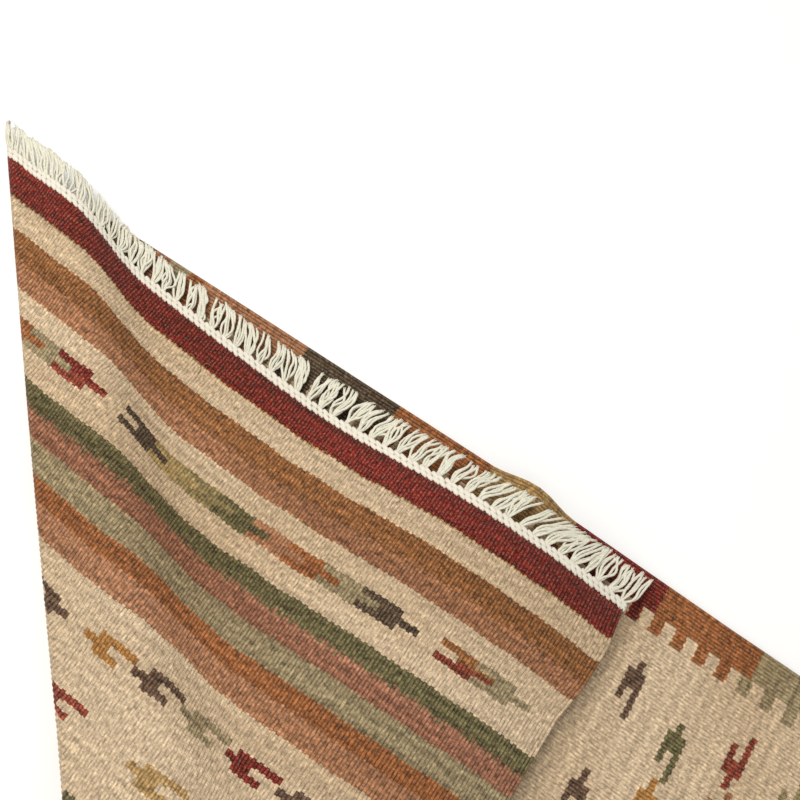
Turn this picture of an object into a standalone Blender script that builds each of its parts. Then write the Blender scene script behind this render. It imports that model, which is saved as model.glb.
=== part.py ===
"""A flat-woven wool kilim rug, lying on the floor with one fringed end folded over on the diagonal.

Metres, +Z up. The rug is first laid out flat: u runs across it from one side edge, v runs along it
from the end that is folded over. folded() then carries each flat point to where it lies. The fold
crosses the rug from close to the corner u = v = 0, so the folded end comes to lie beside the side
edge u = 0.
The lower layer is flat on z = 0, apart from the swells in WAVES.
"""

import bmesh
import bpy
import numpy as np
from mathutils import Matrix, Vector

# The rug laid out flat
WIDTH = 0.800
LENGTH = 1.500
THICKNESS = 0.004
BAND_WIDTH = 0.0065
FRINGE_LENGTH = 0.040
FRINGE_THICKNESS = 0.003
FRINGE_ROOT = 0.006
TASSELS = 52
TASSEL_SHARE = 0.62
GAP = 0.0005

# The fold, and how far the folded end lies above the layer below it
FOLD_ANGLE = np.radians(44.0)
FOLD_START = 0.003
LAYER_STEP = 0.008
END_BOW = 0.016
SIDE_BOW = 0.005
SIDE_BOW_SPAN = (0.10, 0.95)

# The roll behind the fold, as a section square to the fold line. Its sizes are multiplied by
# ROLL_SCALE_AT_CORNER at the corner and by ROLL_SCALE_RISE more for each metre along the fold.
FOLD_BULGE = 0.010
ROLL = (
    # place, distance from the fold, height above the lower layer
    ("fold", 0.000, 0.033),
    ("crown", 0.080, 0.055),
    ("landing", 0.165, 0.000),
)
ROLL_SCALE_AT_CORNER = 0.62
ROLL_SCALE_RISE = 0.50
ROLL_GROWS_UP_TO = 0.65

# Swells that run across the rug
WAVES = (
    # name, centre along the side edge, lean, width before, width after, height below, height on top
    ("swell", 0.630, 0.0, 0.230, 0.280, 0.006, 0.050),
    ("ridge", 0.650, 0.0, 0.055, 0.058, 0.024, 0.000),
)

# The folded fringe hangs part of the way down to the layer below
FRINGE_DROOP = 0.55
FRINGE_REST = 0.0055

# Spacing of the facets: across the fold itself, behind it, elsewhere, and along the fold
FACET_TURN = 0.004
FACET_ROLL = 0.0115
FACET_FLAT = 0.060
FACET_ALONG = 0.042
TURN_REACH = 0.025
ROLL_REACH = 0.170

COLOURS = {
    "wool": (0.42, 0.25, 0.15, 1.0),
    "cotton": (0.78, 0.74, 0.64, 1.0),
}


def roll_profile(steps=480):
    """The roll's section: half an ellipse round the fold, then cosine slopes between ROLL's rows.

    Gives the distance along the cloth from the foot of the fold, and the reach and rise there."""
    angle = np.linspace(-np.pi / 2, np.pi / 2, steps // 2)
    fold_height = ROLL[0][2]
    reach = [-FOLD_BULGE * np.cos(angle)]
    rise = [fold_height / 2 * (1 + np.sin(angle))]
    for (_, x0, z0), (_, x1, z1) in zip(ROLL[:-1], ROLL[1:]):
        share = np.linspace(0, 1, steps)[1:]
        reach.append(x0 + (x1 - x0) * share)
        rise.append(z0 + (z1 - z0) * (1 - np.cos(np.pi * share)) / 2)
    reach, rise = np.concatenate(reach), np.concatenate(rise)
    steps_along = np.hypot(np.diff(reach), np.diff(rise))
    arc = np.concatenate([[0], np.cumsum(steps_along)])
    return arc, reach, rise, arc[steps // 4]


def laid(u, v):
    """Where the cloth's middle lies: turned over at the fold, then lifted by the waves."""
    arc, reach, rise, half_turn = roll_profile()
    cos, sin = np.cos(FOLD_ANGLE), np.sin(FOLD_ANGLE)
    along = (u - FOLD_START) * cos + v * sin
    beyond = v * cos - (u - FOLD_START) * sin
    scale = ROLL_SCALE_AT_CORNER + ROLL_SCALE_RISE * np.clip(along, -0.1, ROLL_GROWS_UP_TO)
    run = half_turn - beyond / scale
    inside = np.interp(run, arc, reach)
    out = np.where(run < 0, -run, np.where(run > arc[-1], reach[-1] + run - arc[-1], inside))
    out = scale * (out + half_turn)
    turned = np.clip(run / (2 * half_turn), 0, 1)
    x = FOLD_START + along * cos - out * sin
    y = along * sin + out * cos
    z = THICKNESS / 2 + scale * np.interp(run, arc, rise) + LAYER_STEP * turned
    low = np.full_like(z, THICKNESS / 2)
    slack = np.zeros_like(z)
    for _, centre, lean, before, after, below, above in WAVES:
        offset = y - centre + lean * x
        share = np.clip(offset / np.where(offset < 0, before, after), -1, 1)
        height = below + (above - below) * turned
        z = z + height * np.cos(np.pi * share / 2) ** 2
        low = low + below * np.cos(np.pi * share / 2) ** 2
        slack = slack + np.pi**2 * height**2 / (4 * (before + after)) * share / 2
    start, stop = SIDE_BOW_SPAN
    side = np.sin(np.pi * np.clip((y - start) / (stop - start), 0, 1))
    end = np.sin(np.pi * np.clip(y / WIDTH, 0, 1))
    x = x + END_BOW * end * turned - SIDE_BOW * side * (1 - turned)
    return x, y - slack, z, low


def folded(u, v):
    """laid(), with the folded fringe drooping and the far fringe easing down to the floor."""
    x, y, z, low = laid(u, v)
    out = np.clip((-v - FRINGE_ROOT) / (FRINGE_LENGTH - FRINGE_ROOT), 0, 1)
    drop = FRINGE_DROOP * (z - low - FRINGE_REST) * out**1.25
    past = np.clip((v - LENGTH - FRINGE_ROOT) / FRINGE_ROOT, 0, 1)
    settle = (THICKNESS - FRINGE_THICKNESS) / 2 * past
    return x, y, z - drop - settle


def flat_grid(columns, rows):
    """A grid primitive stretched so that its lines lie at the given u and v."""
    bm = bmesh.new()
    across, along = len(columns) - 1, len(rows) - 1
    bmesh.ops.create_grid(bm, x_segments=across, y_segments=along, size=0.5)
    for vert in bm.verts:
        column = round((vert.co.x + 0.5) * across)
        row = round((vert.co.y + 0.5) * along)
        vert.co = Vector((columns[column], rows[row], 0))
    return bm


def facet_offsets():
    """Offsets of the facet lines on either side of the fold: finest at the turn of the fold."""
    turn = np.arange(-TURN_REACH, TURN_REACH + FACET_TURN / 2, FACET_TURN)
    roll = np.arange(-ROLL_REACH, -TURN_REACH - FACET_ROLL / 2, FACET_ROLL)
    before = np.arange(roll[0] - FACET_FLAT, -WIDTH, -FACET_FLAT)
    after = np.arange(turn[-1] + FACET_FLAT, LENGTH, FACET_FLAT)
    return np.concatenate([before, roll, turn, after])


def score(bm):
    """Cuts the flat cloth along lines beside the fold and lines square to it."""
    beside = Vector((-np.sin(FOLD_ANGLE), np.cos(FOLD_ANGLE), 0))
    along = Vector((np.cos(FOLD_ANGLE), np.sin(FOLD_ANGLE), 0))
    lines = [(beside, offset) for offset in facet_offsets()]
    lines += [(along, offset) for offset in np.arange(FACET_ALONG, LENGTH * 1.5, FACET_ALONG)]
    for normal, offset in lines:
        everything = bm.verts[:] + bm.edges[:] + bm.faces[:]
        point = Vector((FOLD_START, 0, 0)) + normal * offset
        bmesh.ops.bisect_plane(bm, geom=everything, dist=1e-6, plane_co=point, plane_no=normal)
    bmesh.ops.triangulate(bm, faces=bm.faces[:])


def outward(u, v):
    """The upward side of the flat cloth, as a unit vector where each point lies once folded."""
    step = 1e-5
    across = np.stack(folded(u + step, v)) - np.stack(folded(u - step, v))
    along = np.stack(folded(u, v + step)) - np.stack(folded(u, v - step))
    normal = np.cross(across.T, along.T)
    return (normal / np.linalg.norm(normal, axis=1, keepdims=True)).T


def split_rims(bm):
    """Splits every face of the cut edges on the same diagonal, so that neighbouring edges stay parallel."""
    bm.normal_update()
    for face in [face for face in bm.faces if abs(face.normal.z) < 0.5]:
        corners = sorted(face.verts, key=lambda vert: (round(vert.co.x + vert.co.y, 6), vert.co.z))
        bmesh.utils.face_split(face, corners[0], corners[-1])


def cloth(name, bm, thickness, material):
    """Scores a flat outline, gives it its thickness, and folds it: its middle goes where folded() says."""
    score(bm)
    bmesh.ops.solidify(bm, geom=bm.faces[:], thickness=thickness)
    split_rims(bm)
    mesh = bpy.data.meshes.new(name)
    bm.to_mesh(mesh)
    bm.free()
    flat = np.empty(len(mesh.vertices) * 3)
    mesh.vertices.foreach_get("co", flat)
    u, v, level = flat.reshape(-1, 3).T
    level = level - (level.min() + level.max()) / 2
    laid_out = np.stack(folded(u, v)) + level * outward(u, v)
    mesh.vertices.foreach_set("co", laid_out.T.ravel())
    mesh.update()
    mesh.materials.append(material)
    mesh.shade_smooth()
    return bpy.data.objects.new(name, mesh)


def panel(name, v_start, v_stop, material):
    return cloth(name, flat_grid([0, WIDTH], [v_start, v_stop]), THICKNESS, material)


def fringe(name, root, direction, material):
    """One comb: a root strip along the whole end, and a tooth for each tassel."""
    pitch = WIDTH / TASSELS
    half_tooth = pitch * TASSEL_SHARE / 2
    middles = (np.arange(TASSELS) + 0.5) * pitch
    columns = np.stack([middles - half_tooth, middles + half_tooth], axis=1).ravel()
    rows = sorted(root + direction * reach for reach in (0, FRINGE_ROOT, FRINGE_LENGTH))
    bm = flat_grid(columns, rows)
    spaces = []
    for face in bm.faces:
        middle = face.calc_center_median()
        tooth = round(middle.x / pitch - 0.5)
        between = abs(middle.x - middles[min(tooth, TASSELS - 1)]) > half_tooth
        if between and abs(middle.y - root) > FRINGE_ROOT:
            spaces.append(face)
    bmesh.ops.delete(bm, geom=spaces, context="FACES")
    return cloth(name, bm, FRINGE_THICKNESS, material)


def new_material(name, colour, roughness):
    material = bpy.data.materials.new(name)
    material.use_nodes = True
    shader = material.node_tree.nodes["Principled BSDF"]
    shader.inputs["Base Color"].default_value = colour
    shader.inputs["Roughness"].default_value = roughness
    shader.inputs["Metallic"].default_value = 0.0
    return material


def centre(pieces):
    """Moves every mesh so that the origin is at the bottom centre of the rug's box."""
    points = np.array([corner for piece in pieces for corner in piece.bound_box])
    low, high = points.min(axis=0), points.max(axis=0)
    move = Matrix.Translation((-(low[0] + high[0]) / 2, -(low[1] + high[1]) / 2, -low[2]))
    for piece in pieces:
        piece.data.transform(move)


def main():
    for old in list(bpy.data.objects):
        bpy.data.objects.remove(old)
    rug = bpy.data.collections.new("folded_kilim_rug")
    bpy.context.scene.collection.children.link(rug)
    wool = new_material("woven_wool", COLOURS["wool"], 0.90)
    cotton = new_material("twined_cotton", COLOURS["cotton"], 0.85)
    far = LENGTH - BAND_WIDTH
    pieces = [
        panel("rug_body", BAND_WIDTH, far, wool),
        panel("end_band_folded", GAP, BAND_WIDTH - GAP, cotton),
        panel("end_band_far", far + GAP, LENGTH - GAP, cotton),
        fringe("fringe_folded", 0.0, -1, cotton),
        fringe("fringe_far", LENGTH, 1, cotton),
    ]
    for piece in pieces:
        rug.objects.link(piece)
    centre(pieces)


main()
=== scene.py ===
"""The folded kilim rug: a flat-woven wool cloth with a twined band and a cotton fringe at each end.

The cloth is described laid out flat, in metres: u runs across it from one side edge, v runs along it
from the folded end, and the wool face is up. lay_down() carries any flat point to where it lies once
the end is folded over on the diagonal.
"""

from functools import partial

import bpy
import numpy as np
from mathutils import Matrix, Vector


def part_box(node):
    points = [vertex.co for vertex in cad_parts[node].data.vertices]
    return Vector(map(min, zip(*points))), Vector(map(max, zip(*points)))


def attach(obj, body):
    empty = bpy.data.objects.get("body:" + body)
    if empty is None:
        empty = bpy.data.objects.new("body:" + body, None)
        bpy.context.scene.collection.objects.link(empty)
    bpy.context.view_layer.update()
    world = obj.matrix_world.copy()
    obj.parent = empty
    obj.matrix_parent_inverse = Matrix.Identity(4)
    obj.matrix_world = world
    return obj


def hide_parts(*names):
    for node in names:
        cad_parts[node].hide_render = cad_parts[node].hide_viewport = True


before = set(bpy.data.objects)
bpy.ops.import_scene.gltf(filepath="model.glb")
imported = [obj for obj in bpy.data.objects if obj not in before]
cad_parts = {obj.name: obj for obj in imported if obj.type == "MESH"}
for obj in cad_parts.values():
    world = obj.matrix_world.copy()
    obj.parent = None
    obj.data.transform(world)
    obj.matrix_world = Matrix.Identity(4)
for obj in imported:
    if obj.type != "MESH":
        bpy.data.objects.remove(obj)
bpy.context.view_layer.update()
RNG = np.random.default_rng(7)

# ---- sizes of the rug laid out flat
WIDTH, LENGTH, THICKNESS = 0.800, 1.500, 0.004
BAND_WIDTH = 0.0065
FRINGE_LENGTH = 0.040
WARPS = 224
WARP_PITCH = WIDTH / WARPS
# What one weft yarn takes up of the length. A float on a rib is two of them long.
PICK = 0.0011
TASSELS = 52
TASSEL_PITCH = WIDTH / TASSELS

# ---- how it lies
# The fold leaves the end this far from its corner, at this angle to the end.
FOLD_ANGLE, FOLD_START = np.radians(44.0), 0.003
# How far the fold bulges out, and how much higher the upper layer's middle lies than the lower one's.
FOLD_BULGE, LAYER_STEP = 0.010, 0.008
# How far the folded end and the lower layer's side edge bow.
END_BOW, SIDE_BOW, SIDE_BOW_SPAN = 0.016, 0.005, (0.10, 0.95)
# The side edge swings out by so much over this span from the folded end, growing from a place across.
EDGE_SWING, EDGE_SWING_SPAN, EDGE_SWING_FROM = 0.009, (0.000, 0.130), 0.60
ROLL = (
    # place, distance from the fold, height above the lower layer
    ("fold", 0.000, 0.033),
    ("crown", 0.080, 0.055),
    ("landing", 0.165, 0.000),
)
# The roll's section is ROLL times this at the corner, growing by so much in a metre along the fold.
ROLL_SCALE_AT_CORNER, ROLL_SCALE_RISE, ROLL_GROWS_BETWEEN = 0.62, 0.50, (-0.10, 0.65)
WAVES = (
    # name, centre along the side edge, width before, width after, height below, height on top
    ("swell", 0.630, 0.230, 0.280, 0.006, 0.050),
    ("ridge", 0.650, 0.055, 0.058, 0.024, 0.000),
)
# The folded fringe droops by a share of its height over where it would rest, times a power of how far
# out it is: 0 at the root, 1 at the fringe's length.
FRINGE_DROOP, FRINGE_REST, FRINGE_ROOT = 0.55, 0.0055, 0.006
DROOP_POWER, DROOP_UP_TO = 1.25, 1.3

# ---- how the meshes are divided
# The points across a warp: their places, and 1 for its crest or 0 for a groove's edge.
RIB_PLACES, RIB_RELIEF = np.array([0.14, 0.50, 0.86]), np.array([0.0, 1.0, 0.0])
# Half the cloth's thickness at its rim and in a groove, and what a crest adds, which varies.
RIM_HALF, GROOVE_HALF, CREST_RISE = 0.0004, 0.00125, 0.00075
CREST_LEAST, CREST_VARIES = 0.80, 0.20
# How many warps at each side are thick cords, and the same for them.
SELVEDGE_CORDS, CORD_GROOVE_HALF, CORD_RISE = 2, 0.0010, 0.0013
# How far the cloth's ends go under the bands, and the shortest way from the end to the fold.
END_TUCK, SHORTEST_FLAP = 0.0005, 0.004
FLAP_ROWS = (
    # rows, share of the flap's length from the fold reached by them
    (8, 0.045),
    (16, 0.364),
    (12, 1.000),
)
BASE_ROWS = (
    # rows, distance past the fold reached by them, or at least this far along the rug
    (8, 0.035, 0.0),
    (8, 0.045, 0.585),
    (10, 0.110, 0.720),
    (9, 9.0, 0.0),
)

# ---- fringe and band
FRINGE_STRAND, STRAND_SECTIONS, STRAND_SIDES = 0.0027, 18, 8
# How far the two plies stand out, as a share of the radius, and the length of half a turn.
PLY_LOBES, PLY_TWIST = 0.12, 0.006
# A point takes painted shade by how low it lies, from this many radii over the strand's middle down, and
# by how near the plies' groove it is.
LOW_FROM, LOW_SHARE, PLY_SHARE = 0.45, 0.8, 0.2
FOLDED_FRINGE_LIE = (
    # place across the end, sideways lean of the strands, how far out their tips reach, half a
    # tassel's width at the band, and half the width that it opens to
    (0.00, -1.0, 0.022, 0.0060, 0.0085),
    (0.06, -1.4, 0.025, 0.0055, 0.0080),
    (0.15, -0.6, 0.029, 0.0020, 0.0060),
    (0.25, -0.5, 0.027, 0.0015, 0.0050),
    (0.40, -0.4, 0.031, 0.0015, 0.0050),
    (0.45, 0.3, 0.034, 0.0015, 0.0050),
    (0.60, 0.2, 0.035, 0.0015, 0.0055),
    (0.69, 1.0, 0.035, 0.0015, 0.0060),
    (0.75, 0.2, 0.038, 0.0015, 0.0060),
    (0.80, 0.1, 0.036, 0.0015, 0.0045),
)
FAR_FRINGE_LIE = (
    # the same columns
    (0.00, 0.1, 0.036, 0.0015, 0.0055),
    (0.25, -0.2, 0.035, 0.0015, 0.0055),
    (0.50, 0.3, 0.037, 0.0015, 0.0060),
    (0.80, -0.2, 0.036, 0.0015, 0.0055),
)
# The folded end's last tassels swing sideways, more so towards its corner, before they turn out. Their
# swing times the last number is added to the power that they reach out by.
LAST_TASSELS_FROM, LAST_TASSELS_SWING, SWING_POWER = 0.755, 0.012, 35
# How unlike each other tassels and strands are: ranges, or spreads of a normal draw.
STRANDS_EACH, ORDER_SPREAD = (5, 8), 0.10
TASSEL_LEAN, STRAND_LEAN = 0.12, 0.06
TASSEL_REACH, STRAND_REACH = 0.03, (-0.07, 0.04)
TASSEL_BEND, TASSEL_BELLY, TASSEL_OPENING = (1.05, 1.60), (-0.30, 0.80), (0.82, 1.18)
TASSEL_SWAY, STRAND_SWAY, STRAND_SIZE = 0.0022, 0.0014, 0.05
# How far those two sways go round from root to tip: an angle, and a range in half turns.
TASSEL_SWAY_ANGLE, STRAND_SWAY_TURNS = 5.5, (1.2, 3.2)
# The share of its reach at which a tassel is open, and how far its roots are tucked in and slimmer.
OPENED_BY, ROOT_TUCK, ROOT_SLIMMER = 0.50, 0.0012, 0.14
# Every other strand rises by the first, and all sink by the second, along half a sine that is over
# this much sooner than the strand. The tips lift or sink by the rest.
RIDE_OVER, RIDE_UNDER, RIDE_QUICKER = 0.0017, 0.0003, 1.15
TIP_LIFT, FAR_TIP_SINKS = (-0.0004, 0.0009), 0.0006
# The fibres of a frayed end: how many, their points and sides, their length, how far inside they start.
FIBRES, FIBRE_SECTIONS, FIBRE_SIDES, FIBRE_LENGTH, FIBRE_TUCK = 4, 4, 4, (0.0020, 0.0036), 0.0012
# As shares of a strand: the circle they start on, what it grows by, how that varies, and their radius.
FIBRE_CIRCLE, FIBRE_OPENS, FIBRE_VARIES, FIBRE_SIZE = 0.26, 0.16, (0.4, 1.8), 0.22
# The angles they start at, how high that circle is for its width, their taper, and the painted shade they
# take.
FIBRE_START, FIBRE_FLATTER, FIBRE_TAPER, FIBRE_PAINTED_SHADE = (0, 6), 0.8, 0.25, 0.10

BAND_CORE = (
    # distance in from the end, half thickness
    (0.0000, 0.0006),
    (0.0012, 0.0012),
    (0.0052, 0.0012),
    (0.0066, 0.0006),
)
# How far in from the side edges the core and the stitches' middles stay, and the stitches' height.
CORE_INSET, STITCH_INSET, STITCH_LIFT = 0.0006, 0.003, 0.0013
# A stitch: its length, width and depth, how blunt its ends are, and its rings and sides.
STITCH_SIZE, STITCH_BLUNT, STITCH_RINGS, STITCH_SIDES = (0.0108, 0.0050, 0.0016), 0.6, 5, 8
# Spreads of a stitch's place along and across the band, of its slant and of its sizes.
STITCH_ALONG, STITCH_ACROSS, STITCH_SLANT, STITCH_VARIES = 0.0003, 0.00022, 0.07, 0.06
# The painted shade on a stitch: this much on its half toward the core, fading to none at its outermost point.
STITCH_PAINTED_SHADE = 0.6
STITCH_ROWS = (
    # distance in from the end, shift along the end in stitches, slant
    (0.0008, 0.0, 0.36),
    (0.0046, 0.5, 0.36),
)
LOOSE_THREADS = (
    # place across the end, length, heading it starts in
    (0.30, 0.010, -1.2),
    (0.31, 0.016, -0.4),
    (0.32, 0.009, -1.9),
    (0.45, 0.008, -0.9),
    (0.47, 0.006, -1.6),
    (0.56, 0.007, 0.6),
)
# Where the threads start along the cloth; then how far they turn, their height and their arch.
THREADS_FROM, THREAD_RADIUS, THREAD_SECTIONS, THREAD_SIDES = 0.0370, 0.00036, 12, 4
THREAD_TURN, THREAD_LIFT, THREAD_ARCH = 2.2, 0.0019, 0.0016

# ---- yarns and pattern
YARNS = {
    "ivory": "#e0d8b8",
    "cream": "#c0a888",
    "burgundy": "#702018",
    "gold brown": "#885830",
    "rose brown": "#986848",
    "dark green": "#605838",
    "olive": "#887850",
    "terracotta": "#906048",
    "sage": "#908060",
    "rust": "#905830",
    "pink": "#a07050",
    "mustard": "#a08858",
    "dark brown": "#504030",
    "tan": "#a08050",
    "amber": "#a07038",
    "plum brown": "#604838",
    "brick": "#803828",
}
HEADER_STRIPES = (
    # from the end inwards: its yarn, its width in mm, and over how many mm it is hatched into the
    # one before
    ("burgundy", 36, 0),
    ("cream", 24, 0),
    ("gold brown", 24, 0),
    ("rose brown", 20, 11),
    ("cream", 62, 0),
    ("dark green", 18, 0),
    ("terracotta", 22, 10),
    ("sage", 24, 0),
    ("rust", 18, 0),
    ("pink", 22, 0),
    ("cream", 30, 0),
)
HEADER_WIDTHS = [width / 1000 for _, width, _ in HEADER_STRIPES]
HEADER_STARTS = [sum(HEADER_WIDTHS[:n]) for n in range(len(HEADER_WIDTHS))]
HEADER_LENGTH = sum(HEADER_WIDTHS)
OUTLINE_PLACE, OUTLINE_THIN, OUTLINE_THICK = 0.0365, 0.0007, 0.0018
MOTIF_CENTRE, MOTIF_HALF, MOTIF_NOTCH = 0.1345, 0.0100, 0.0034
MOTIF_FIRST_WARP, MOTIF_WARPS = 10, 11.75
MOTIF_YARNS = (
    "tan", "dark green", "rust", "sage", "burgundy", "cream", "dark brown", "mustard", "olive",
    "dark green", "pink", "rust", "sage", "dark brown", "cream", "gold brown", "sage", "cream",
)
# These forks, counted from 0, change their yarn half way across the band.
MOTIF_CHANGES = {4: "brick", 15: "brick"}
FIELD_FIRST, FIELD_STEP, FIELD_TURNS_AFTER = 0.307, 0.060, 4.5
FIELD_MIRROR_WARP, FIELD_GAP = 105.5, 3.0
FIELD_FORKS, FIELD_WARPS, FIELD_STEM_WARPS = 5, 16.25, 3
FIELD_FORK = (
    # warps from the stem's end, outer half height and notch's half height as shares of MOTIF_HALF,
    # 1 where only the prong nearer the rug's end goes on
    (0.0, 0.34, 0.00, 0.0),
    (3.5, 1.00, 0.00, 0.0),
    (8.0, 1.00, 0.36, 0.0),
    (12.0, 1.00, 0.36, 1.0),
)
# Each row starts this many yarns further on, and so do the forks on the left.
ROW_YARN_STEP, LEFT_YARN_STEP = 5.0, 6.0
FIELD_YARNS = (
    "amber", "plum brown", "sage", "burgundy", "plum brown", "brick", "plum brown", "tan",
    "rust", "olive", "burgundy", "dark green", "sage", "rose brown", "brick", "dark green",
)
BORDER_YARNS = (
    # from the folded end on; the first reaches to BORDER_FIRST, and the others are a step long each
    "rose brown", "dark brown", "rust", "tan", "burgundy", "rust", "sage", "rose brown", "dark brown",
    "rust",
)
BORDER_FIRST, BORDER_STEP = 0.370, 0.112
BORDER_SOLID, BORDER_TEETH = 0.0305, 0.0500
TOOTH_PERIOD, TOOTH_START = 0.0255, 0.005

# How much a colour's edge steps, and how strongly the weave shows.
EDGE_STEP, EDGE_CHANCE, EDGE_WANDER = 0.0011, 0.0007, 0.0050
LOT_DARK, LOT_LIGHT = (0.93, 0.90, 0.86, 1.0), (1.07, 1.09, 1.13, 1.0)
STREAK_DARK, STREAK_LIGHT = (0.62, 0.56, 0.52, 1.0), (1.36, 1.37, 1.36, 1.0)
PALE_SHOWS = 0.42
SLUB, SLUB_LENGTH, HATCH_LENGTH = 0.60, 0.0060, 0.0026
# The tone of each float, the painted shade at each float's ends, and the mottle.
FLOAT_TONE, FLOAT_DIP_SHADE, MOTTLE = 0.18, 0.05, 0.54
# Noise patterns on the flat cloth, in cells per metre across it and along it.
WANDER_CELLS, OUTLINE_CELLS = 16.0, 34.0  # 60 mm, 30 mm
LOT_CELLS, STREAK_CELLS = (3.0, 9.0, 1.0), (2.6, 150.0, 1.0)  # 330 x 110 mm, 380 x 7 mm
MOTTLE_CELLS, HIGHLIGHT_CELLS = (620.0, 190.0, 1.0), 480.0  # 1.6 x 5 mm, 2 mm
# A rib reads the slubs' and the hatching's noise this many cells from its neighbour, in two layers.
RIB_SHIFT, HATCH_LAYER = 0.73, 4.0
# Dust and fibres on cotton, coarser than real ones so that they show: 3 mm and 0.6 mm.
DUST_CELLS, FIBRE_CELLS = 320.0, 1800.0
# The share of the cotton's shade colour given by full painted shade; dust adds to it.
HOLLOW_SHADE = 0.90
# Painted shade in the grooves between warps: the colour goes toward itself times this at a groove's middle.
GROOVE_SHADE = (0.32, 0.26, 0.23)
# Painted highlights on the rib crests: their strength, how much lighter than the yarn, and how far toward
# ivory.
HIGHLIGHT, HIGHLIGHT_LIGHTER, HIGHLIGHT_IVORY = 0.62, (1.5, 1.5, 1.5), 0.30


def roll_profile(steps=480):
    """Half an ellipse round the fold, then half-cosine slopes between the rows of ROLL.

    Gives the distance along the cloth from the foot of the fold, the reach and rise there, and the
    distance half way round the fold."""
    angle = np.linspace(-np.pi / 2, np.pi / 2, steps // 2)
    reach = [-FOLD_BULGE * np.cos(angle)]
    rise = [ROLL[0][2] / 2 * (1 + np.sin(angle))]
    for (_, x0, z0), (_, x1, z1) in zip(ROLL[:-1], ROLL[1:]):
        share = np.linspace(0, 1, steps)[1:]
        reach.append(x0 + (x1 - x0) * share)
        rise.append(z0 + (z1 - z0) * (1 - np.cos(np.pi * share)) / 2)
    reach, rise = np.concatenate(reach), np.concatenate(rise)
    arc = np.concatenate([[0], np.cumsum(np.hypot(np.diff(reach), np.diff(rise)))])
    return arc, reach, rise, arc[steps // 4]


ROLL_CURVE = roll_profile()


def laid(u, v):
    """The cloth's middle. A flat point is turned over along the roll's section, in a direction square
    to the fold. Each wave then lifts it by a squared cosine and takes up the length that such a wave
    needs. Sines bow the turned layer along the end and the lower layer along the side. The last value
    is the height of the lower layer under the point."""
    arc, reach, rise, half_turn = ROLL_CURVE
    cos, sin = np.cos(FOLD_ANGLE), np.sin(FOLD_ANGLE)
    along = (u - FOLD_START) * cos + v * sin
    beyond = v * cos - (u - FOLD_START) * sin
    scale = ROLL_SCALE_AT_CORNER + ROLL_SCALE_RISE * np.clip(along, *ROLL_GROWS_BETWEEN)
    run = half_turn - beyond / scale
    inside = np.interp(run, arc, reach)
    out = np.where(run < 0, -run, np.where(run > arc[-1], reach[-1] + run - arc[-1], inside))
    out = scale * (out + half_turn)
    turned = np.clip(run / (2 * half_turn), 0, 1)
    x = FOLD_START + along * cos - out * sin
    y = along * sin + out * cos
    z = THICKNESS / 2 + scale * np.interp(run, arc, rise) + LAYER_STEP * turned
    low, slack = np.full_like(z, THICKNESS / 2), np.zeros_like(z)
    for _, centre, before, after, below, above in WAVES:
        offset = y - centre
        share = np.clip(offset / np.where(offset < 0, before, after), -1, 1)
        height = below + (above - below) * turned
        z = z + height * np.cos(np.pi * share / 2) ** 2
        low = low + below * np.cos(np.pi * share / 2) ** 2
        slack = slack + np.pi**2 * height**2 / (4 * (before + after)) * share / 2
    start, stop = SIDE_BOW_SPAN
    side = np.sin(np.pi * np.clip((y - start) / (stop - start), 0, 1))
    end = np.sin(np.pi * np.clip(y / WIDTH, 0, 1))
    x = x + END_BOW * end * turned - SIDE_BOW * side * (1 - turned)
    return x, y - slack, z, low


# The box of the solids is centred on the origin, so the flat frame's corner lies off it.
FAR_EDGE = laid(np.array([WIDTH]), np.array([LENGTH - BAND_WIDTH]))
BODY_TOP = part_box("rug_body")[1]
CORNER = np.array([BODY_TOP[0] - FAR_EDGE[0][0], BODY_TOP[1] - FAR_EDGE[1][0], 0.0])


def middle(u, v):
    """laid(), with the folded end's side edge swung out by a squared sine and the folded fringe
    drooping by a share of its height, and moved to where the solids lie."""
    start, stop = EDGE_SWING_SPAN
    swing = EDGE_SWING * np.sin(np.pi * np.clip((v - start) / (stop - start), 0, 1)) ** 2
    near_edge = np.clip((u - EDGE_SWING_FROM) / (WIDTH - EDGE_SWING_FROM), 0, 1) ** 2
    x, y, z, low = laid(u + swing * near_edge, v)
    out = np.clip((-v - FRINGE_ROOT) / (FRINGE_LENGTH - FRINGE_ROOT), 0, DROOP_UP_TO)
    z = z - FRINGE_DROOP * (z - low - FRINGE_REST) * out**DROOP_POWER
    return np.stack([x, y, z], -1) + CORNER


def lay_down(u, v, lift):
    """A flat point (u, v) and its height over the cloth's middle, carried to where it lies: the middle
    there, plus the height along the cloth's own normal."""
    u, v, lift = np.broadcast_arrays(u, v, lift)
    step = 2e-4
    along_u = middle(u + step, v) - middle(u - step, v)
    along_v = middle(u, v + step) - middle(u, v - step)
    normal = np.cross(along_u, along_v)
    normal /= np.linalg.norm(normal, axis=-1, keepdims=True)
    return middle(u, v) + lift[..., None] * normal


# ---- meshes
def new_mesh(name, points, faces, material, painted_shade=None):
    """A smooth mesh object. The last argument, if given, is how much painted shade each point takes, from
    0 to 1, kept as a point attribute."""
    mesh = bpy.data.meshes.new(name)
    mesh.vertices.add(len(points))
    mesh.vertices.foreach_set("co", np.asarray(points, np.float32).ravel())
    faces = np.asarray(faces, np.int32)
    mesh.loops.add(faces.size)
    mesh.loops.foreach_set("vertex_index", faces.ravel())
    mesh.polygons.add(len(faces))
    mesh.polygons.foreach_set("loop_start", np.arange(len(faces), dtype=np.int32) * faces.shape[1])
    mesh.update(calc_edges=True)
    mesh.validate()
    if painted_shade is not None:
        layer = mesh.attributes.new("painted_shade", "FLOAT", "POINT")
        layer.data.foreach_set("value", np.asarray(painted_shade, np.float32))
    mesh.materials.append(material)
    mesh.shade_smooth()
    made = bpy.data.objects.new(name, mesh)
    bpy.context.scene.collection.objects.link(made)
    return made


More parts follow.
